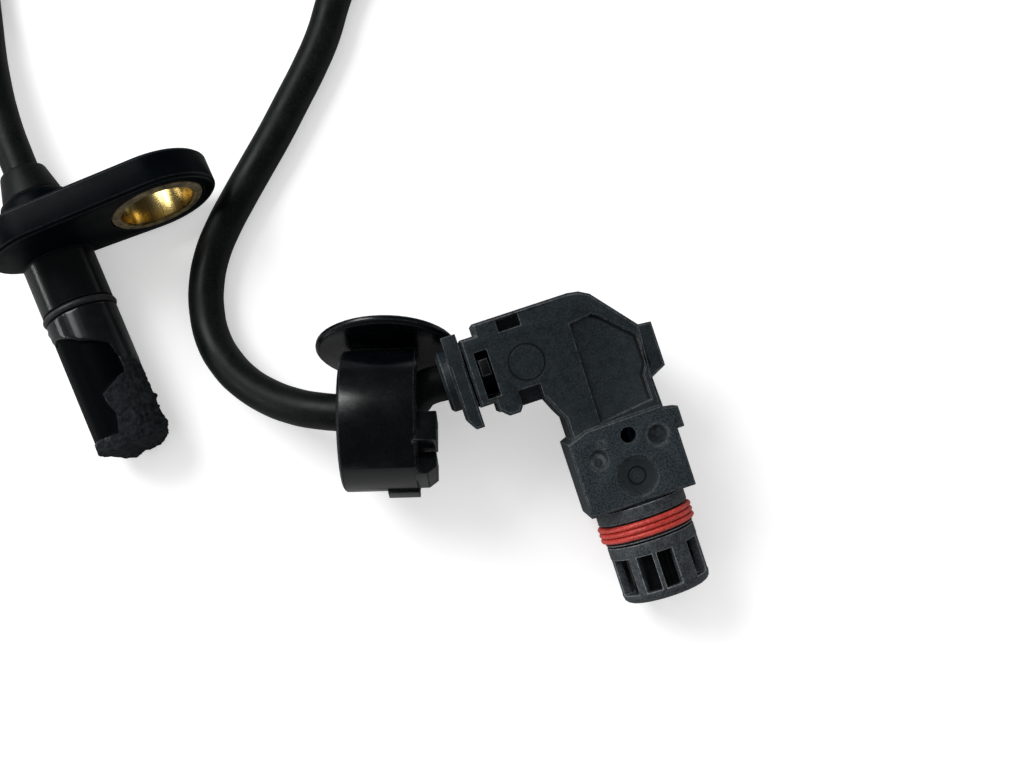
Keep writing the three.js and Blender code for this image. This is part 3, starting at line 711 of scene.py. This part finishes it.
def make_line_mark():
    tree, inside, outside = group_tree(
        "LineMark", {"Vector": None, "Start": None, "Along": None, "Width": 0.4}, {"Mask": NUMBER})
    along = inside.outputs["Along"]
    offset = vector_from(tree, "SUBTRACT", inside.outputs["Vector"], inside.outputs["Start"])
    flat = vector_from(tree, "MULTIPLY", offset, FROM_ABOVE)
    reach, whole = (vector_from(tree, "DOT_PRODUCT", vector, along) for vector in (flat, along))
    nearest = vector_from(tree, "SCALE", along, number_from(tree, "DIVIDE", reach, whole, clamp=True))
    distance = vector_from(tree, "LENGTH", vector_from(tree, "SUBTRACT", flat, nearest))
    share = number_from(tree, "DIVIDE", distance, inside.outputs["Width"])
    feed(tree, outside, {"Mask": ramp_between(tree, share, 1.0, 0.6)})
    return tree


RING_MARK, LINE_MARK = make_ring_mark(), make_line_mark()
print("node groups:", [group.name for group in (MOTTLE, GRAIN, RING_MARK, LINE_MARK)])

# %% [markdown]
# A finish starts with one Principled shader whose constants are set on its own sockets. The helpers
# below only add what varies over the surface: a mix of two colours, a changing roughness and a normal.
# Turned pieces are coloured by their stored millimetres, the others by their object coordinates.

# %% A finish and its helpers
finishes = {}


def finish(name, colour, roughness, metallic=0.0, coords="mm", specular=0.5):
    material = bpy.data.materials.new(name)
    material.use_nodes = True
    tree = material.node_tree
    shader = tree.nodes["Principled BSDF"]
    shader.inputs["Base Color"].default_value = (*colour, 1)
    shader.inputs["Roughness"].default_value = roughness
    shader.inputs["Metallic"].default_value = metallic
    shader.inputs["Specular IOR Level"].default_value = specular
    if coords == "mm":
        place = add(tree, "ShaderNodeAttribute", attribute_name="mm").outputs["Vector"]
    else:
        place = vector_from(tree, "SCALE", add(tree, "ShaderNodeTexCoord").outputs["Object"], 1 / MM)
    finishes[name] = (material, tree, shader, place)
    return finishes[name]


def effect(tree, group, place, **values):
    return feed(tree, add(tree, "ShaderNodeGroup", node_tree=group), {"Vector": place, **values})


def mix_colour(tree, factor, first, second):
    first, second = ((*value, 1) if isinstance(value, tuple) else value for value in (first, second))
    mix = add(tree, "ShaderNodeMix", data_type="RGBA")
    return feed(tree, mix, {0: factor, 6: first, 7: second}).outputs[2]


def mix_value(tree, factor, first, second):
    mix = add(tree, "ShaderNodeMix", data_type="FLOAT")
    return feed(tree, mix, {0: factor, 2: first, 3: second}).outputs[0]


def product(tree, first, second):
    return number_from(tree, "MULTIPLY", first, second)


# %% [markdown]
# Most pieces are dark plastic or rubber, and what tells them apart is how sharply they shine and how
# cloudy and dusty they are. So one recipe serves them all, with other numbers for each: two colours,
# two values of roughness, the size of the clouds, and the strength and the size of the grain.

# %% The recipe of a mottled finish
def mottled(name, dark, light, rough_low, rough_high, scale, grain, grain_scale, coords="mm",
            metallic=0.0, specks=0.5, specular=0.5):
    """Colour and roughness drift in clouds, with fine pale specks and a fine grain."""
    _, tree, shader, place = finish(name, dark, rough_low, metallic, coords, specular)
    mottle = effect(tree, MOTTLE, place, Scale=scale)
    clouds, fine = mottle.outputs["Clouds"], mottle.outputs["Fine"]
    deeper, paler = tuple(c * 0.6 for c in dark), tuple(c * 1.35 for c in light)
    brightest = tuple(min(1, c * 1.7 + 0.01) for c in light)
    colour = mix_colour(tree, clouds, dark, light)
    colour = mix_colour(tree, product(tree, fine, 0.5), colour, paler)
    colour = mix_colour(tree, product(tree, number_from(tree, "SUBTRACT", 1, fine), 0.5), colour, deeper)
    colour = mix_colour(tree, product(tree, mottle.outputs["Specks"], specks), colour, brightest)
    grainy = effect(tree, GRAIN, place, Scale=grain_scale, Strength=grain)
    feed(tree, shader, {
        "Base Color": colour, "Roughness": mix_value(tree, clouds, rough_low, rough_high),
        "Normal": grainy.outputs["Normal"]})
    return finishes[name]


# %% [markdown]
# Flange and probe are one moulding, but the flange is a nearly black satin and the probe's skin is
# glossy. Two materials would meet in a hard line. One material with a short ramp along the probe's
# axis changes from one to the other.

# %% Plastics and rubbers of the head
PROBE_START = (-0.1, -0.6)
mottled("housing_plastic", (0.0005, 0.0014, 0.0022), (0.0016, 0.0034, 0.0046), 0.34, 0.46,
        0.25, 0.10, 3.0, specks=0.1, specular=0.05)
_, tree, shader, place = finishes["housing_plastic"]
axes = feed(tree, add(tree, "ShaderNodeSeparateXYZ"), {0: place})
on_probe = ramp_between(tree, axes.outputs["Y"], *PROBE_START)
satin = shader.inputs["Roughness"].links[0].from_socket
feed(tree, shader, {
    "Specular IOR Level": mix_value(tree, on_probe, 0.05, 0.55),
    "Roughness": mix_value(tree, on_probe, satin, 0.24)})
# The paler edge finish is partly rubbed wear and partly a painted highlight where the bevels catch light.
mottled("housing_edge", (0.002, 0.0036, 0.0045), (0.009, 0.012, 0.014), 0.3, 0.45,
        0.6, 0.12, 3.0, specular=0.2)
mottled("boot_rubber", (0.002, 0.0034, 0.0034), (0.005, 0.0072, 0.0068), 0.38, 0.55,
        0.3, 0.2, 3.0, specular=0.2)
mottled("ring_rubber", (0.008, 0.010, 0.011), (0.022, 0.024, 0.026), 0.4, 0.6, 0.8, 0.1, 3.0)
print("finishes of the head:", list(finishes))

# %% [markdown]
# The clip is the shiniest piece, a black that mirrors the window. The plug's barrel and basket are
# coarse and grey with dust, and the seal is a soft red rubber. The paler edges show rubbed wear and a
# painted highlight. They could be painted with a mask, but the bevels already have a slot of their own,
# so a second, paler finish is enough.

# %% Plastics and rubbers of clip and plug
mottled("clip_plastic", (0.0003, 0.0010, 0.0016), (0.0012, 0.0028, 0.0040), 0.20, 0.30,
        0.25, 0.12, 3.0, specks=0.3, specular=0.6)
# The clip's paler edges: rubbed wear and a painted highlight.
mottled("clip_edge", (0.002, 0.0036, 0.0046), (0.018, 0.022, 0.025), 0.4, 0.55,
        0.7, 0.1, 3.0, specular=0.12)
mottled("sleeve_rubber", (0.002, 0.003, 0.003), (0.005, 0.006, 0.006), 0.5, 0.7,
        0.3, 0.2, 3.0, specular=0.3)
# The plug's paler edges: rubbed wear and a painted highlight.
mottled("plug_edge", (0.014, 0.019, 0.022), (0.065, 0.075, 0.082), 0.45, 0.6, 0.7, 0.15, 3.0)
mottled("barrel_plastic", (0.013, 0.018, 0.022), (0.054, 0.065, 0.073), 0.5, 0.7,
        0.8, 0.5, 4.0, specks=1.0)
# The barrel's paler edges: rubbed wear and a painted highlight.
mottled("barrel_edge", (0.05, 0.058, 0.064), (0.20, 0.215, 0.23), 0.5, 0.65, 1.0, 0.3, 3.0)
mottled("seal_rubber", (0.44, 0.030, 0.022), (0.62, 0.065, 0.048), 0.34, 0.5,
        0.5, 0.10, 3.0, specks=0.1)
print("finishes so far:", len(finishes))

# %% [markdown]
# The lead's jacket is a greenish black with a soft shine. The lead runs through the whole scene and has
# no stored millimetres, so its colour is read in object coordinates, as is the tie's.

# %% Jacket, carrier and tie
mottled("lead_jacket", (0.0024, 0.0040, 0.0032), (0.0068, 0.0100, 0.0082), 0.36, 0.5,
        0.22, 0.16, 2.2, "object", specks=0.35, specular=0.17)
mottled("carrier_plastic", (0.0012, 0.0022, 0.0028), (0.003, 0.005, 0.006), 0.4, 0.55,
        0.5, 0.1, 3.0, specular=0.3)
mottled("tie_plastic", (0.02, 0.02, 0.02), (0.04, 0.04, 0.04), 0.4, 0.5, 0.4, 0.1, 3.0, "object")
print("finishes so far:", len(finishes))

# %% [markdown]
# The plug's elbow is a matt slate grey, and its wider block is dustier than its arm. Two thin round
# lines lie on top, where the mould was closed by inserts. They are drawn as rings, and a mask by height
# keeps them off the sides.

# %% The plug's plastic and its dust
DUST_GREY = (0.034, 0.047, 0.057)
TOP_FACE, BLOCK_START = (5.9, 6.2), (-14.0, -14.8)
INSERT_CENTRE, INSERT_R = (-10.5, -1.0, 0), 2.85
DIAL_CENTRE, DIAL_R = (0.3, -23.2, 0), 1.35
_, tree, shader, place = mottled(
    "plug_plastic", (0.0080, 0.0134, 0.0170), (0.0140, 0.0222, 0.0275), 0.50, 0.68,
    0.7, 0.7, 5.0, specks=0.9, specular=0.3)
slate = shader.inputs["Base Color"].links[0].from_socket
axes = feed(tree, add(tree, "ShaderNodeSeparateXYZ"), {0: place})
on_top = ramp_between(tree, axes.outputs["Z"], *TOP_FACE)
insert_line = effect(tree, RING_MARK, place, Centre=INSERT_CENTRE, Radius=INSERT_R, Width=0.2)
dial_line = effect(tree, RING_MARK, place, Centre=DIAL_CENTRE, Radius=DIAL_R, Width=0.22)
both_lines = number_from(tree, "MAXIMUM", insert_line.outputs["Mask"], dial_line.outputs["Mask"])
line = product(tree, both_lines, on_top)
broken = effect(tree, MOTTLE, place, Scale=0.9)
on_block = ramp_between(tree, axes.outputs["Y"], *BLOCK_START)
dusty = product(tree, product(tree, on_block, broken.outputs["Fine"]), 0.9)
# This colour collects dust, then painted shade, painted highlights and painted shadow.
dust_shade_and_sheen = mix_colour(tree, dusty, slate, DUST_GREY)
print("plug plastic nodes:", len(tree.nodes))

# %% [markdown]
# The dial and the two dimples beside it get painted shade, and pale crescents and rings round the
# dimples are a painted highlight. Each spot is a wide ring, which clouds or fine drift break up, so that
# no edge looks drawn.

# %% Painted shade in the recesses and painted highlights round them
# The dark colours are painted shade for the dial and the dimples, and the pale one is a painted highlight
# round them.
DIAL_PAINTED_SHADE, DIMPLE_PAINTED_SHADE, RIM_PAINTED_HIGHLIGHT = (0.0040, 0.0066, 0.0085), (0.0050, 0.0080, 0.0100), (0.13, 0.145, 0.15)
RIGHT_DIMPLE = (5.3, -18.1, 0)
for centre, radius, width, strength, shade, drift in [
    (DIAL_CENTRE, 1.65, 1.75, 0.75, DIAL_PAINTED_SHADE, "Fine"),
    ((-4.7, -19.0, 0), 0.8, 0.85, 0.6, DIMPLE_PAINTED_SHADE, "Clouds"),
    (RIGHT_DIMPLE, 0.8, 0.85, 0.9, DIMPLE_PAINTED_SHADE, "Clouds"),
    ((-4.9, -19.4, 0), 1.05, 0.5, 0.55, RIM_PAINTED_HIGHLIGHT, "Clouds"),
    (RIGHT_DIMPLE, 1.8, 0.3, 0.3, RIM_PAINTED_HIGHLIGHT, "Clouds"),
    ((-3.6, -16.9, 0), 0.6, 0.5, 0.3, RIM_PAINTED_HIGHLIGHT, "Clouds"),
]:
    spot = effect(tree, RING_MARK, place, Centre=centre, Radius=radius, Width=width)
    patchy = product(tree, spot.outputs["Mask"], broken.outputs[drift])
    dust_shade_and_sheen = mix_colour(tree, product(tree, patchy, product(tree, on_top, strength)), dust_shade_and_sheen, shade)
print("plug plastic nodes:", len(tree.nodes))

# %% [markdown]
# What lies deep is darker than a render makes it, so shade is painted there: a painted shadow along two
# sides of the sunk panel, and painted shade in a box round the latch slot. Both end at the height of the
# top face.

# %% Painted shadow along the sunk panel and painted shade in the latch slot
PANEL_EDGE = [(1.4, 3.1), (2.4, 2.5), (7.2, -2.2), (7.2, -7), (6.3, -8.6), (6.3, -12.6)]
SLOT_BOX = (("X", -18.5, -15.6), ("Y", -4.9, 3.2))
PANEL_FLOOR, PANEL_RIM, SLOT_RIM, SLOT_BORDER = (5.2, 5.4), (6.28, 6.2), (6.1, 5.9), 0.1
PANEL_PAINTED_SHADOW, SLOT_PAINTED_SHADE = (0.0016, 0.0028, 0.0034), (0.0012, 0.0022, 0.0028)
above_floor = ramp_between(tree, axes.outputs["Z"], *PANEL_FLOOR)
below_face = ramp_between(tree, axes.outputs["Z"], *PANEL_RIM)
in_panel = product(tree, above_floor, below_face)
# A dark line of painted shadow along two sides of the sunk panel.
for start, end in zip(PANEL_EDGE, PANEL_EDGE[1:]):
    along = (end[0] - start[0], end[1] - start[1], 0)
    panel_shadow_line = effect(tree, LINE_MARK, place, Start=(*start, 0), Along=along, Width=0.75)
    amount = product(tree, panel_shadow_line.outputs["Mask"], in_panel)
    dust_shade_and_sheen = mix_colour(tree, amount, dust_shade_and_sheen, PANEL_PAINTED_SHADOW)

# Painted shade in a box round the latch slot, below the top face.
slot_shade_mask = ramp_between(tree, axes.outputs["Z"], *SLOT_RIM)
for axis, low, high in SLOT_BOX:
    after = ramp_between(tree, axes.outputs[axis], low - SLOT_BORDER, low + SLOT_BORDER)
    before = ramp_between(tree, axes.outputs[axis], high + SLOT_BORDER, high - SLOT_BORDER)
    slot_shade_mask = product(tree, slot_shade_mask, product(tree, after, before))
dust_shade_and_sheen = mix_colour(tree, slot_shade_mask, dust_shade_and_sheen, SLOT_PAINTED_SHADE)
print("plug plastic nodes:", len(tree.nodes))

# %% [markdown]
# The two round lines are a tenth of a millimetre deep. They go on last, over dust, painted shade and
# painted highlights: they darken the colour, and a bump sinks them. It takes in the grain's normal, so
# that the grain stays.

# %% The two round lines are sunk
LINE_BLACK, LINE_DEPTH = (0.0035, 0.0055, 0.0065), 0.12
grain_normal = shader.inputs["Normal"].links[0].from_socket
sink = feed(tree, add(tree, "ShaderNodeBump", invert=True), {
    "Distance": LINE_DEPTH * MM, "Strength": 0.8, "Height": line, "Normal": grain_normal})
feed(tree, shader, {
    "Base Color": mix_colour(tree, line, dust_shade_and_sheen, LINE_BLACK), "Normal": sink.outputs["Normal"]})
print("plug plastic nodes:", len(tree.nodes))

# %% [markdown]
# The probe's tip has three faces: glossy skin, grey crust and the dark smooth patch where the skin
# broke off. Both masks were stored on the points of the remeshed tip, so the same borders that moved
# the surface also change its colour and its shine.

# %% The worn tip
SKIN_DARK, SKIN_LIGHT = (0.0018, 0.0034, 0.0044), (0.0055, 0.0078, 0.0092)
PATCH_BLACK = (0.0006, 0.0014, 0.0020)
CRUST_DARK, CRUST_LIGHT = (0.0032, 0.0044, 0.0052), (0.0155, 0.019, 0.0215)
CRUST_SPECKS = (0.06, 0.065, 0.07)
_, tree, shader, place = finish("worn_tip", (0.002, 0.003, 0.004), 0.26)
mottle = effect(tree, MOTTLE, place, Scale=0.3)
dirt = effect(tree, MOTTLE, place, Scale=1.3)
crust = add(tree, "ShaderNodeAttribute", attribute_name="crust").outputs["Fac"]
patch = add(tree, "ShaderNodeAttribute", attribute_name="patch").outputs["Fac"]
rough = ramp_between(tree, crust, 0.15, 0.75)
skin_colour = mix_colour(tree, mottle.outputs["Clouds"], SKIN_DARK, SKIN_LIGHT)
skin_colour = mix_colour(tree, patch, skin_colour, PATCH_BLACK)
dirt_colour = mix_colour(tree, dirt.outputs["Clouds"], CRUST_DARK, CRUST_LIGHT)
dirt_colour = mix_colour(tree, product(tree, dirt.outputs["Specks"], 0.5), dirt_colour, CRUST_SPECKS)
bumps = effect(tree, GRAIN, place, Scale=3.5, Strength=product(tree, rough, 0.9))
feed(tree, shader, {
    "Base Color": mix_colour(tree, rough, skin_colour, dirt_colour),
    "Roughness": mix_value(tree, rough, mix_value(tree, patch, 0.24, 0.5), 0.9),
    "Specular IOR Level": mix_value(tree, rough, mix_value(tree, patch, 0.5, 0.02), 0.15),
    "Normal": bumps.outputs["Normal"]})
print("worn tip nodes:", len(tree.nodes))

# %% [markdown]
# The bush is turned brass. Its wall inside the bore stays golden, because the bolt kept it clean,
# while the outer rim is tarnished brown and rough. The distance from the bush's axis tells rim from
# wall. Clouds that are drawn out along the axis give the wall its streaks.

# %% Brass
BUSH_AXIS, BUSH_RIM = (19.4, 0, 5.6), (6.3, 6.75)
WALL_DARK, WALL_BRIGHT = (0.30, 0.20, 0.055), (0.74, 0.58, 0.24)
RIM_DARK, RIM_LIGHT = (0.085, 0.066, 0.036), (0.27, 0.215, 0.12)
_, tree, shader, place = finish("bush_brass", (0.62, 0.42, 0.15), 0.3, 1.0)
clouds = effect(tree, MOTTLE, place, Scale=0.7).outputs["Clouds"]
along_axis = vector_from(tree, "MULTIPLY", place, (1, 0.06, 1))
streaks = effect(tree, MOTTLE, along_axis, Scale=0.9).outputs["Clouds"]
bright = mix_colour(tree, streaks, WALL_DARK, WALL_BRIGHT)
dull = mix_colour(tree, clouds, RIM_DARK, RIM_LIGHT)
across = vector_from(tree, "MULTIPLY", vector_from(tree, "SUBTRACT", place, BUSH_AXIS), (1, 0, 1))
rim = ramp_between(tree, vector_from(tree, "LENGTH", across), *BUSH_RIM)
brushed = effect(tree, GRAIN, place, Scale=2.5, Strength=0.25)
feed(tree, shader, {
    "Base Color": mix_colour(tree, rim, bright, dull), "Roughness": mix_value(tree, rim, 0.24, 0.6),
    "Metallic": mix_value(tree, rim, 1.0, 0.35), "Normal": brushed.outputs["Normal"]})
print("brass nodes:", len(tree.nodes))

# %% [markdown]
# The pieces inside head and plug are seen only where the part is cut open. They get plain finishes by
# the same recipe, so that a section shows what is plastic, magnet, brass, tin or the wires' insulation.

# %% Finishes of the inner pieces
for name, dark, light, low, high, metal in [
    ("core_plastic", (0.0016, 0.002, 0.0025), (0.004, 0.005, 0.006), 0.4, 0.55, 0),
    ("element_plastic", (0.03, 0.03, 0.035), (0.05, 0.05, 0.055), 0.4, 0.5, 0),
    ("magnet_metal", (0.25, 0.25, 0.26), (0.35, 0.35, 0.36), 0.35, 0.5, 1),
    ("strip_brass", (0.5, 0.38, 0.2), (0.62, 0.5, 0.3), 0.25, 0.4, 1),
    ("contact_tin", (0.55, 0.55, 0.54), (0.7, 0.7, 0.68), 0.25, 0.4, 1),
    ("wire_brown", (0.10, 0.05, 0.025), (0.14, 0.07, 0.035), 0.4, 0.5, 0),
    ("wire_blue", (0.03, 0.06, 0.18), (0.045, 0.08, 0.22), 0.4, 0.5, 0),
    ("gland_rubber", (0.002, 0.003, 0.003), (0.005, 0.006, 0.006), 0.5, 0.7, 0),
]:
    mottled(name, dark, light, low, high, 0.5, 0.1, 3.0, "object", metal, 0.2)
print("finishes:", len(finishes))

# %% [markdown]
# Each soft-edged copy takes its finish and, in its second slot, the finish of its paler edges, with
# rubbed wear and a painted highlight, if it has one.

# %% Finishes go onto the pieces
looks["flange_side"], looks["tip_side"] = flange_side, tip_side
PIECE_FINISH = {
    "bolt_bush": "bush_brass", "cable_boot": "boot_rubber", "cable_clip": "clip_plastic",
    "clip_sleeve": "sleeve_rubber", "elbow_housing": "plug_plastic", "rear_retainer": "plug_plastic",
    "elbow_lid": "plug_plastic", "plug_body": "barrel_plastic", "coding_basket": "barrel_plastic",
    "contact_carrier": "carrier_plastic", "probe_ring": "ring_rubber", "red_seal": "seal_rubber",
    "flange_side": "housing_plastic", "tip_side": "worn_tip",
}
# The second slots get the paler edge finishes: rubbed wear and a painted highlight.
EDGE_WEAR_AND_SHEEN = {kind + "_plastic": kind + "_edge" for kind in ("housing", "clip", "plug", "barrel")}
for key, base in PIECE_FINISH.items():
    piece = looks[key]
    for material_slot, name in zip(piece.material_slots, (base, EDGE_WEAR_AND_SHEEN.get(base, base))):
        material_slot.material = finishes[name][0]
print("softened pieces:", len(PIECE_FINISH))

# %% [markdown]
# The lead, the tie and the inner pieces each have one finish all over, so the material is simply put
# on their mesh. The two wires differ in colour, so that they can be told apart.

# %% Pieces with one finish
INNER = {
    "element_core": "core_plastic", "sensing_element": "element_plastic", "bias_magnet": "magnet_metal",
    "lead_strip_left": "strip_brass", "lead_strip_right": "strip_brass", "crimp_left": "contact_tin",
    "crimp_right": "contact_tin", "cable_gland": "gland_rubber", "contact_left": "contact_tin",
    "contact_right": "contact_tin", "plug_wire_left": "wire_brown", "plug_wire_right": "wire_blue",
}
for piece, name in [(lead, "lead_jacket"), (tie, "tie_plastic")] + [
    (frame["nodes"][node], name) for node, name in INNER.items()
]:
    piece.data.materials.clear()
    piece.data.materials.append(finishes[name][0])
print("inner pieces:", len(INNER))

# %% [markdown]
# The object lies on a plain pale sheet, which is not part of it. The picture's ground is nearly white,
# and more light would bleach the object. So the sheet glows a little, but only for the camera. Glossy
# rays see it darker, because a white sheet mirrored from below would turn black plastic grey.

# %% The table
TABLE_SIZE, TABLE_Z = 3, -0.0001
TABLE_GLOW, TABLE_WHITE, TABLE_MIRRORED = 0.38, (0.9, 0.9, 0.9), (0.4, 0.4, 0.4)
bpy.ops.mesh.primitive_plane_add(size=TABLE_SIZE, location=(0, 0, TABLE_Z))
floor = bpy.context.object
floor.name = "table"
ground = bpy.data.materials.new("table_white")
ground.use_nodes = True
tree = ground.node_tree
seen = add(tree, "ShaderNodeLightPath").outputs
feed(tree, tree.nodes["Principled BSDF"], {
    "Base Color": mix_colour(tree, seen["Is Glossy Ray"], TABLE_WHITE, TABLE_MIRRORED),
    "Roughness": 0.9, "Specular IOR Level": 0.1, "Emission Color": (1, 1, 1, 1),
    "Emission Strength": product(tree, seen["Is Camera Ray"], TABLE_GLOW)})
floor.data.materials.append(ground)
print("table in metres:", TABLE_SIZE)

# %% [markdown]
# The photograph has a soft light from the upper left and a weak grey shadow to the lower right. A large
# area light gives that shadow its soft edge, and a narrow strip at the left draws the thin highlight
# along the probe. Both are placed by the picture's own right and up.

# %% The two lights
RIGHT, UP, MIDDLE = Vector((0.910, -0.415, 0)), Vector((0.415, 0.910, 0)), Vector((30, -30, 0))
STRIP_WIDTH = 30


def area_light(name, right, up, height, size_mm, power):
    place = MIDDLE + RIGHT * right + UP * up + Vector((0, 0, height))
    bpy.ops.object.light_add(type="AREA", location=place * MM)
    lamp = bpy.context.object
    lamp.name = name
    lamp.data.size = size_mm * MM
    lamp.data.energy = power
    lamp.rotation_euler = (MIDDLE - place).to_track_quat("-Z", "Y").to_euler()
    return lamp


window = area_light("window", -330, 230, 420, 300, 2.0)
strip = area_light("strip", -420, -60, 115, 320, 0.3)
strip.data.shape = "RECTANGLE"
strip.data.size_y = STRIP_WIDTH * MM
print("lights in watts:", window.data.energy, round(strip.data.energy, 2))

# %% [markdown]
# The world fills in the rest. It is dim where a surface mirrors it, because a bright sky would turn
# black plastic grey.

# %% The world
SKY, SKY_MIRRORED = 0.56, 0.05
world = bpy.data.worlds.new("room")
bpy.context.scene.world = world
world.use_nodes = True
tree = world.node_tree
mirrored = add(tree, "ShaderNodeLightPath").outputs["Is Glossy Ray"]
feed(tree, tree.nodes["Background"], {
    "Color": (1, 1, 1, 1), "Strength": mix_value(tree, mirrored, SKY, SKY_MIRRORED)})
bpy.context.scene.view_settings.view_transform = "Standard"
print("world:", SKY)
